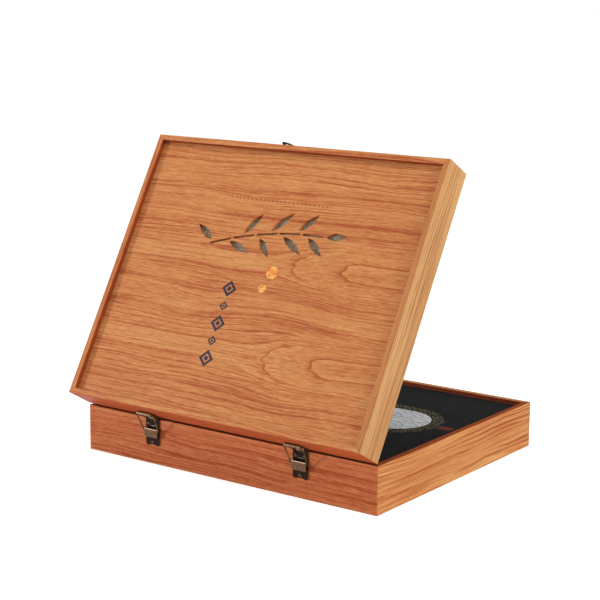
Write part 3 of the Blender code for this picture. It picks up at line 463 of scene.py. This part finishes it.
def makeLinen(look):
    material, tree = newMaterial("linen_plain_woven")
    place = boardCoordinates(tree, True)
    parts = addNode(tree, "SeparateXYZ", inputs={"Vector": place})
    pitch, length = 1 / look["thread"], 1 / look["threadLength"]
    threads, tones = [], []
    for axis, stretch in (("X", (pitch, length, 1)), ("Y", (length, pitch, 1))):
        turn = addNode(tree, "Math", {"operation": "MULTIPLY"}, {
            0: parts.outputs[axis], 1: math.pi / look["thread"]})
        wave = addNode(tree, "Math", {"operation": "SINE"}, {0: turn})
        threads.append(addNode(tree, "Math", {"operation": "ABSOLUTE"}, {0: wave}))
        single = addNode(tree, "VectorMath", {"operation": "MULTIPLY"}, {0: place, 1: stretch})
        tones.append(addNode(tree, "TexNoise", inputs={"Vector": single, "Scale": 1.0, "Detail": 1.0}))
    checker = addNode(tree, "TexChecker", inputs={"Vector": place, "Scale": pitch})
    weave = addNode(tree, "MixRGB", inputs={0: checker.outputs["Fac"], 1: threads[0], 2: threads[1]})
    toneSum = addNode(tree, "Math", {"operation": "ADD"}, {0: tones[0], 1: tones[1]})
    tone = addNode(tree, "Math", {"operation": "MULTIPLY_ADD"}, {0: weave, 1: look["weaveShare"], 2: toneSum})
    low, high = look["toneRange"]
    stretched = addNode(tree, "MapRange", inputs={"Value": tone, "From Min": low, "From Max": high})
    cloth = addNode(tree, "ValToRGB", inputs={"Fac": stretched}, stops=threeStops(look))
    below = addNode(tree, "Math", {"operation": "LESS_THAN"}, {0: parts.outputs["Z"], 1: look["paperZ"]})
    color = addNode(tree, "MixRGB", inputs={0: below, 1: cloth, 2: linearColor(look["paper"])})
    bump = addNode(tree, "Bump", inputs={
        "Strength": look["bumpStrength"], "Distance": look["bump"], "Height": weave})
    shader = addNode(tree, "BsdfPrincipled", inputs={
        "Base Color": color, "Roughness": look["roughness"], "Normal": bump})
    finishMaterial(tree, shader)
    return material


dress(["lid_backing_board"], makeLinen(linen))

# Inlays: cast amber-coloured resin, polished flush.
# It gives a clear orange that is deeper in clouds, with a small sharp gloss.
resin = {
    "light": "#F9B55A", "middle": "#F09A40", "dark": "#DB7428",
    "cloud": 5.0, "cloudRange": (0.35, 0.65), "swirl": 0.6,  # cloud in mm
    "roughness": 0.22, "coat": 0.3, "coatRoughness": 0.08,
    "glow": 0.15, "glowDepth": (0.004, 0.002, 0.001),  # light entering the resin, in metres for each colour
}


def makeResin(look):
    material, tree = newMaterial("amber_resin_polished")
    place = boardCoordinates(tree, True)
    clouds = addNode(tree, "TexNoise", inputs={
        "Vector": place, "Scale": 1 / look["cloud"], "Detail": 2.0, "Distortion": look["swirl"]})
    low, high = look["cloudRange"]
    stretched = addNode(tree, "MapRange", inputs={"Value": clouds, "From Min": low, "From Max": high})
    color = addNode(tree, "ValToRGB", inputs={"Fac": stretched}, stops=threeStops(look))
    shader = addNode(tree, "BsdfPrincipled", inputs={
        "Base Color": color, "Roughness": look["roughness"],
        "Coat Weight": look["coat"], "Coat Roughness": look["coatRoughness"],
        "Subsurface Weight": look["glow"], "Subsurface Radius": look["glowDepth"], "Subsurface Scale": 1.0})
    finishMaterial(tree, shader)
    return material


dress(["inlay_large", "inlay_small"], makeResin(resin))
print("linen and inlays dressed")

# Hinges and latch: pressed steel, brass-plated and chemically darkened, then rubbed back on its edges.
# It gives a brown-black sheet whose edges and raised faces shine a dull gold; the edges' gold is rubbed
# plating and painted highlight.
agedBrass = {
    "cloud": 6.0, "fine": 0.7, "fineShare": 0.15,  # mm, the patches of the patina and the grain in it
    "patina": 0.5, "patinaSpread": 0.4,  # share of the surface that stays dark, and how softly it ends
    "edge": 0.00035, "edgeWearAndHighlight": 9.0,  # metres of rounding that counts as an edge, and how bright it gets: rubbed plating and painted highlight
    "highlightFrom": 1000.0, "highlightSpread": 0.5,  # mm above the table, from where a painted highlight lies on the piece's top
    "middleAt": 0.45, "toneRange": (0.4, 0.9),
    "roughness": 0.34, "roughnessSpread": (0.10, -0.06),  # the dark layer is duller than the rubbed plating
    "bump": 0.00004, "bumpStrength": 0.4,
}
brassPieces = {  # how each pressed piece or wire has aged
    "leaf": {"light": "#80694F", "middle": "#3C2F26", "dark": "#271C15", "patina": 0.68, "cloud": 5.0},
    "curl": {"light": "#AC8C6A", "middle": "#79604A", "dark": "#4C3A2C", "patina": 0.45, "edgeWearAndHighlight": 4.0},
    # painted highlight on the clip's top edge, from 35.6 mm up
    "clip": {"light": "#C8A986", "middle": "#755A45", "dark": "#5E4736", "patina": 0.60, "edgeWearAndHighlight": 5.0,
             "highlightFrom": 35.6},
    "wire": {"light": "#B4926C", "middle": "#72593F", "dark": "#3E2E20", "patina": 0.45, "edgeWearAndHighlight": 0.0,
             "cloud": 5.0},
    "screw": {"light": "#9C8A72", "middle": "#4A3B2E", "dark": "#140E0A", "patina": 0.85, "edge": 0.0005,
              "edgeWearAndHighlight": 7.0, "cloud": 3.2},
    "plate": {"light": "#80694F", "middle": "#40342A", "dark": "#2A2019", "patina": 0.62, "edgeWearAndHighlight": 6.0},
    "hook": {"light": "#A08262", "middle": "#54443A", "dark": "#2C221A", "patina": 0.52, "edgeWearAndHighlight": 5.0},
    # painted highlight: the rib is pale grey for the light along it
    "rib": {"light": "#B9B4A8", "middle": "#8E897E", "dark": "#6A665E", "patina": 0.4, "cloud": 3.2},
}


def makeAgedBrass(name, changes):
    look = {**agedBrass, **changes}
    material, tree = newMaterial(name)
    place = boardCoordinates(tree, False)
    clouds = addNode(tree, "TexNoise", inputs={
        "Vector": place, "Scale": 1 / look["cloud"], "Detail": 3.0, "Roughness": 0.6})
    fine = addNode(tree, "TexNoise", inputs={"Vector": place, "Scale": 1 / look["fine"], "Detail": 2.0})
    tone = addNode(tree, "Math", {"operation": "MULTIPLY_ADD"}, {0: fine, 1: look["fineShare"], 2: clouds})
    patina = addNode(tree, "MapRange", inputs={
        "Value": tone, "From Min": look["patina"], "From Max": look["patina"] + look["patinaSpread"]})
    # A rounded normal that differs from the true one marks an edge, where the dark layer is rubbed off and a
    # highlight is painted.
    rounded = addNode(tree, "Bevel", {"samples": 4}, {"Radius": look["edge"]})
    true = addNode(tree, "NewGeometry").outputs["Normal"]
    agree = addNode(tree, "VectorMath", {"operation": "DOT_PRODUCT"}, {0: rounded, 1: true}).outputs["Value"]
    edge = addNode(tree, "Math", {"operation": "SUBTRACT"}, {0: 1.0, 1: agree})
    rubbedAndHighlighted = addNode(tree, "Math", {"operation": "MULTIPLY_ADD"}, {0: edge, 1: look["edgeWearAndHighlight"], 2: patina})
    # painted highlight on the piece's top, above the given height
    height = addNode(tree, "SeparateXYZ", inputs={"Vector": place}).outputs["Z"]
    topHighlight = addNode(tree, "MapRange", inputs={
        "Value": height, "From Min": look["highlightFrom"],
        "From Max": look["highlightFrom"] + look["highlightSpread"]})
    rubbedAndHighlighted = addNode(tree, "Math", {"operation": "ADD"}, {0: rubbedAndHighlighted, 1: topHighlight})
    color = addNode(tree, "ValToRGB", inputs={"Fac": rubbedAndHighlighted}, stops=threeStops(look, look["middleAt"]))
    low, high = look["toneRange"]
    dull, shiny = (look["roughness"] + spread for spread in look["roughnessSpread"])
    roughness = addNode(tree, "MapRange", inputs={
        "Value": tone, "From Min": low, "From Max": high, "To Min": dull, "To Max": shiny})
    bump = addNode(tree, "Bump", inputs={
        "Strength": look["bumpStrength"], "Distance": look["bump"], "Height": fine})
    shader = addNode(tree, "BsdfPrincipled", inputs={
        "Base Color": color, "Metallic": 1.0, "Roughness": roughness, "Normal": bump})
    finishMaterial(tree, shader)
    return material


brass = {name: makeAgedBrass("aged_brass_" + name, changes) for name, changes in brassPieces.items()}
hingeMetals = {"lower_leaf": "leaf", "upper_leaf": "curl", "pin": "wire", "bow": "wire", "clip": "clip"}
sides = ("left", "right")
for side in sides:
    for partName, metal in hingeMetals.items():
        dress([f"hinge_{side}_{partName}"], brass[metal])
dress([name for name in cadNodes if "screw" in name], brass["screw"])
dress(["latch_hook_plate", "latch_stud_plate"], brass["plate"])
dress(["latch_hook", "latch_rivet", "latch_stud"], brass["hook"])


def addPoint(bm, x, y, z):  # from millimetres
    return bm.verts.new((x * millimetre, y * millimetre, z * millimetre))


def joinRings(bm, first, second):  # faces between two rings of as many points
    for i in range(len(first)):
        j = (i + 1) % len(first)
        bm.faces.new((first[i], first[j], second[j], second[i]))


def newPiece(name, bm, material):
    bmesh.ops.recalc_face_normals(bm, faces=bm.faces)
    mesh = bpy.data.meshes.new(name)
    bm.to_mesh(mesh)
    bm.free()
    mesh.materials.append(material)
    piece = bpy.data.objects.new(name, mesh)
    bpy.context.scene.collection.objects.link(piece)
    return piece


# A rib pressed into each lower leaf, between its upper screws. Foot and top are measured out from the wall.
leafRib = {  # mm
    "halfLength": 3.0, "taper": 0.6, "halfHeight": 0.35, "endShare": 0.25,
    "z": 39.3, "foot": 0.85, "top": 1.25, "steps": 8,
}


def makeRib(side):
    low, high = (Vector(corner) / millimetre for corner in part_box(f"hinge_{side}_lower_leaf"))
    middleX, wallY = (low.x + high.x) / 2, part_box("base_back_wall")[0].y / millimetre
    length, shortLength = leafRib["halfLength"], leafRib["halfLength"] - leafRib["taper"]
    bm = bmesh.new()
    rings = []
    for along, share in ((-length, leafRib["endShare"]), (-shortLength, 1.0),
                         (shortLength, 1.0), (length, leafRib["endShare"])):
        ring = []
        for step in range(leafRib["steps"] + 1):
            angle = math.pi * step / leafRib["steps"]
            out = leafRib["foot"] + (leafRib["top"] - leafRib["foot"]) * share * math.sin(angle)
            z = leafRib["z"] + leafRib["halfHeight"] * share * math.cos(angle)
            ring.append(addPoint(bm, middleX + along, wallY - out, z))
        rings.append(ring)
    for first, second in zip(rings, rings[1:]):
        joinRings(bm, first, second)
    bm.faces.new(rings[0][::-1])
    bm.faces.new(rings[-1])
    piece = newPiece(f"hinge_{side}_rib", bm, brass["rib"])
    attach(piece, "base")


for side in sides:
    makeRib(side)
print("hinges and latch dressed")

# Cover board: grey board wrapped in black printed paper.
# It gives an even dull black with faint fibres and a few specks of dust.
coverPaper = {
    "ink": "#161616", "worn": "#242424", "inkAt": 0.15, "wornAt": 0.55,
    "fibre": 1.2, "cloud": 30.0,  # mm
    "speckle": "#9A9C9E", "speckleSize": 9.0, "speckleShare": 0.035,  # mm apart, and how much each fills
    "roughness": 0.9, "specular": 0.05, "bump": 0.00005, "bumpStrength": 0.3,
}

# Print on the cover board: a long rounded field of traditional wave scales,
# a speckled border and two plain ribbons.
coverPrint = {  # mm
    "centerY": 15.0, "halfLength": 92.0,  # the field's middle, and half its straight length
    "radius": 36.0, "endSteps": 24,  # its round ends
    "waveRadius": 19.0, "waveSpacing": (38.0, 9.5), "waveLines": (1.0, 0.66), "lineWidth": 0.65,
    "waveMargin": 1.5, "arcSteps": 30,
    "spareRows": 4, "spareColumns": 3,  # the rows run past the field on every side
    "borderGap": 1.0, "borderWidth": 12.0, "ribbonGap": 1.0, "ribbonHalfHeight": 5.0, "ribbonEnd": 158.0,
    "lift": 0.01, "film": 0.06,  # gap under the printed layers, and their thickness
}
printPapers = {  # inks on the same paper
    "pale_grey": {"ink": "#C8CBCE", "worn": "#E2E4E6", "speckle": "#7F8387"},
    "dark_line": {"ink": "#63676B", "worn": "#5A5E62"},
    "red_brown": {"ink": "#5E2A22", "worn": "#74402F", "speckle": "#8A5A4A"},
    "gold_speckle": {"ink": "#191816", "worn": "#25231F", "speckle": "#958869", "speckleSize": 1.5,
                     "speckleShare": 0.34},
}
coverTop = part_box("cover_board")[1].z / millimetre


def makePrintedPaper(name, changes):
    look = {**coverPaper, **changes}
    material, tree = newMaterial(name)
    place = boardCoordinates(tree, False)
    fibres = addNode(tree, "TexNoise", inputs={"Vector": place, "Scale": 1 / look["fibre"], "Detail": 3.0})
    clouds = addNode(tree, "TexNoise", inputs={"Vector": place, "Scale": 1 / look["cloud"], "Detail": 2.0})
    tone = addNode(tree, "Math", {"operation": "MULTIPLY"}, {0: fibres, 1: clouds})
    color = addNode(tree, "ValToRGB", inputs={"Fac": tone}, stops=(
        (look["inkAt"], look["ink"]), (look["wornAt"], look["worn"])))
    cells = addNode(tree, "TexVoronoi", inputs={"Vector": place, "Scale": 1 / look["speckleSize"]})
    near = addNode(tree, "Math", {"operation": "LESS_THAN"}, {
        0: cells.outputs["Distance"], 1: look["speckleShare"]})
    color = addNode(tree, "MixRGB", inputs={0: near, 1: color, 2: linearColor(look["speckle"])})
    bump = addNode(tree, "Bump", inputs={
        "Strength": look["bumpStrength"], "Distance": look["bump"], "Height": fibres})
    shader = addNode(tree, "BsdfPrincipled", inputs={
        "Base Color": color, "Roughness": look["roughness"], "Normal": bump,
        "Specular IOR Level": look["specular"]})
    finishMaterial(tree, shader)
    return material


def layPrint(name, outlines, level, material):  # thin printed pieces from outlines in mm, on the cover board
    bm = bmesh.new()
    low = coverTop + coverPrint["lift"] + level * coverPrint["film"]
    for outline in outlines:
        lower, upper = ([addPoint(bm, x, y, z) for x, y in outline] for z in (low, low + coverPrint["film"]))
        bm.faces.new(upper)
        bm.faces.new(lower[::-1])
        joinRings(bm, lower, upper)
    piece = newPiece(name, bm, material)
    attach(piece, "cover_board")


def stadium(radius):  # outline of the long field with round ends
    points = []
    for side, start in ((1, -90), (-1, 90)):
        for step in range(coverPrint["endSteps"] + 1):
            angle = math.radians(start + 180 * step / coverPrint["endSteps"])
            points.append((side * coverPrint["halfLength"] + radius * math.cos(angle),
                           coverPrint["centerY"] + radius * math.sin(angle)))
    return points


def inStadium(x, y, radius):
    along = max(abs(x) - coverPrint["halfLength"], 0.0)
    return math.hypot(along, y - coverPrint["centerY"]) < radius


def scaleArcs(x0, y0, radius, pitch, rise):  # the arcs of one scale, hidden where a scale in front of it lies
    fronts = [(x0 + 0.5 * pitch, y0 - rise), (x0 - 0.5 * pitch, y0 - rise), (x0, y0 - 2 * rise),
              (x0 + pitch, y0 - 2 * rise), (x0 - pitch, y0 - 2 * rise)]
    faces = []
    for share in coverPrint["waveLines"]:
        outer, inner = radius * share, radius * share - coverPrint["lineWidth"]
        for step in range(coverPrint["arcSteps"]):
            first, last = (math.radians(180 * s / coverPrint["arcSteps"]) for s in (step, step + 1))
            middle = (first + last) / 2
            x, y = x0 + outer * math.cos(middle), y0 + outer * math.sin(middle)
            hidden = any(math.hypot(x - a, y - b) < radius for a, b in fronts)
            if not hidden and inStadium(x, y, coverPrint["radius"] - coverPrint["waveMargin"]):
                faces.append([(x0 + r * math.cos(angle), y0 + r * math.sin(angle)) for r, angle in (
                    (inner, first), (outer, first), (outer, last), (inner, last))])
    return faces


def waveLines():  # rows of scales from below the field to above it, each row half a scale along
    fieldRadius, fieldHalf = coverPrint["radius"], coverPrint["halfLength"] + coverPrint["radius"]
    pitch, rise = coverPrint["waveSpacing"]
    faces = []
    for row in range(int(2 * fieldRadius / rise) + coverPrint["spareRows"]):
        y0 = coverPrint["centerY"] - fieldRadius - 2 * rise + row * rise
        count = int(2 * fieldHalf / pitch) + coverPrint["spareColumns"]
        for column in range(-count // 2, count // 2 + 1):
            faces += scaleArcs((column + 0.5 * (row % 2)) * pitch, y0, coverPrint["waveRadius"], pitch, rise)
    return faces


def borderFaces(innerRadius, outerRadius):
    inner, outer = stadium(innerRadius), stadium(outerRadius)
    ends = [(i, (i + 1) % len(inner)) for i in range(len(inner))]
    return [[inner[i], outer[i], outer[j], inner[j]] for i, j in ends]


def ribbonOutline(side, start):
    height, end = coverPrint["ribbonHalfHeight"], coverPrint["ribbonEnd"]
    corners = ((start, -height), (end, -height), (end, height), (start, height))
    return [(side * x, coverPrint["centerY"] + y) for x, y in corners]


dress(["cover_board"], makePrintedPaper("paper_wrap_black", {}))
papers = {name: makePrintedPaper("paper_print_" + name, changes) for name, changes in printPapers.items()}
borderInner = coverPrint["radius"] + coverPrint["borderGap"]
borderOuter = borderInner + coverPrint["borderWidth"]
ribbonStart = coverPrint["halfLength"] + borderOuter + coverPrint["ribbonGap"]
layPrint("cover_print_field", [stadium(coverPrint["radius"])], 0, papers["pale_grey"])
layPrint("cover_print_waves", waveLines(), 1, papers["dark_line"])
layPrint("cover_print_border", borderFaces(borderInner, borderOuter), 0, papers["gold_speckle"])
layPrint("cover_print_ribbon_right", [ribbonOutline(1, ribbonStart)], 0, papers["red_brown"])
layPrint("cover_print_ribbon_left", [ribbonOutline(-1, ribbonStart)], 0, papers["red_brown"])
print("cover board printed")

# Stage: a pale matt floor, a large soft lamp above, a smaller one to each side, and an even pale surround.
stage = {
    "floorHalf": 4.0, "floorDrop": 0.0002,  # metres; the drop keeps the floor clear of the box's underside
    "floorColor": "#DADADA",  # the floor that the box's light bounces from
    "seenGlow": 0.80, "seenColor": "#CACACA",  # the floor as it is seen, nearly white with faint shadows
    "surround": 0.35,  # strength of the surround's light; seen directly it is 1, which is white
    "lamps": {  # place, size in metres, watts, colour
        "lamp_above": ((0.0, -0.35, 2.4), 2.0, 20.0, "#FFFFFF"),
        "lamp_right": ((2.2, -0.25, 1.2), 1.0, 30.0, "#FFFDF8"),
        "lamp_left": ((-2.2, -1.55, 0.45), 0.35, 35.0, "#FFFDFA"),
    },
    "aim": (0.0, 0.0, 0.1),
}


def backgroundShare(tree):  # 1 for rays that show the background: straight, reflected or through glass
    path = addNode(tree, "LightPath")
    some = addNode(tree, "Math", {"operation": "MAXIMUM"}, {
        0: path.outputs["Is Camera Ray"], 1: path.outputs["Is Glossy Ray"]})
    return addNode(tree, "Math", {"operation": "MAXIMUM"}, {0: some, 1: path.outputs["Is Transmission Ray"]})


def makeFloor():
    material, tree = newMaterial("studio_floor_matt")
    lit = addNode(tree, "BsdfDiffuse", inputs={"Color": linearColor(stage["floorColor"])})
    shadowed = addNode(tree, "BsdfDiffuse", inputs={"Color": linearColor(stage["seenColor"])})
    glow = addNode(tree, "Emission", inputs={"Strength": stage["seenGlow"]})
    seen = addNode(tree, "AddShader", inputs={0: glow, 1: shadowed})
    above = addNode(tree, "MixShader", inputs={0: backgroundShare(tree), 1: lit, 2: seen})
    # The floor has one side only, so that the underside of the box can be seen from below.
    fromBelow = addNode(tree, "NewGeometry").outputs["Backfacing"]
    clear = addNode(tree, "BsdfTransparent")
    finishMaterial(tree, addNode(tree, "MixShader", inputs={0: fromBelow, 1: above, 2: clear}))
    half, level = stage["floorHalf"], -stage["floorDrop"]
    corners = [(x * half, y * half, level) for x, y in ((-1, -1), (1, -1), (1, 1), (-1, 1))]
    mesh = bpy.data.meshes.new("studio_floor")
    mesh.from_pydata(corners, [], [(0, 1, 2, 3)])
    mesh.materials.append(material)
    floor = bpy.data.objects.new("studio_floor", mesh)
    bpy.context.scene.collection.objects.link(floor)


def makeLamps():
    for name, (place, size, watts, hexText) in stage["lamps"].items():
        lamp = bpy.data.lights.new(name, "AREA")
        lamp.shape, lamp.size, lamp.energy = "DISK", size, watts
        lamp.color = linearColor(hexText)[:3]
        holder = bpy.data.objects.new(name, lamp)
        holder.location = place
        holder.rotation_euler = (Vector(stage["aim"]) - Vector(place)).to_track_quat("-Z", "Y").to_euler()
        bpy.context.scene.collection.objects.link(holder)


def makeSurround():
    world = bpy.data.worlds.new("studio_surround")
    world.use_nodes = True
    tree = world.node_tree
    tree.nodes.clear()
    strength = addNode(tree, "MapRange", inputs={
        "Value": backgroundShare(tree), "To Min": stage["surround"], "To Max": 1.0})
    background = addNode(tree, "Background", inputs={"Color": (1, 1, 1, 1), "Strength": strength})
    addNode(tree, "OutputWorld", inputs={"Surface": background})
    bpy.context.scene.world = world


makeFloor()
makeLamps()
makeSurround()
print("stage set")

# Camera: the photograph's own viewpoint, solved from the box's edges.
cameraLook = {  # metres, degrees, and millimetres of lens and sensor
    "place": (0.9501, -1.3333, 0.4815), "azimuth": 35.927, "elevation": 11.303, "roll": 0.523,
    "lens": 99.19, "sensor": 36.0,
}


def makeCamera(look):
    azimuth, elevation, roll = (math.radians(look[name]) for name in ("azimuth", "elevation", "roll"))
    right = Vector((math.cos(azimuth), math.sin(azimuth), 0))
    forward = Vector((-math.sin(azimuth) * math.cos(elevation), math.cos(azimuth) * math.cos(elevation),
                      -math.sin(elevation)))
    up = right.cross(forward)
    rolledRight = math.cos(roll) * right + math.sin(roll) * up
    rolledUp = -math.sin(roll) * right + math.cos(roll) * up
    turn = Matrix((rolledRight, rolledUp, -forward)).transposed().to_4x4()
    data = bpy.data.cameras.new("photo_camera")
    data.sensor_fit, data.sensor_width, data.sensor_height = "HORIZONTAL", look["sensor"], look["sensor"]
    data.lens = look["lens"]
    camera = bpy.data.objects.new("photo_camera", data)
    camera.matrix_world = Matrix.Translation(look["place"]) @ turn
    bpy.context.scene.collection.objects.link(camera)
    bpy.context.scene.camera = camera


makeCamera(cameraLook)
bpy.context.scene.view_settings.view_transform = "Standard"
print("camera placed")
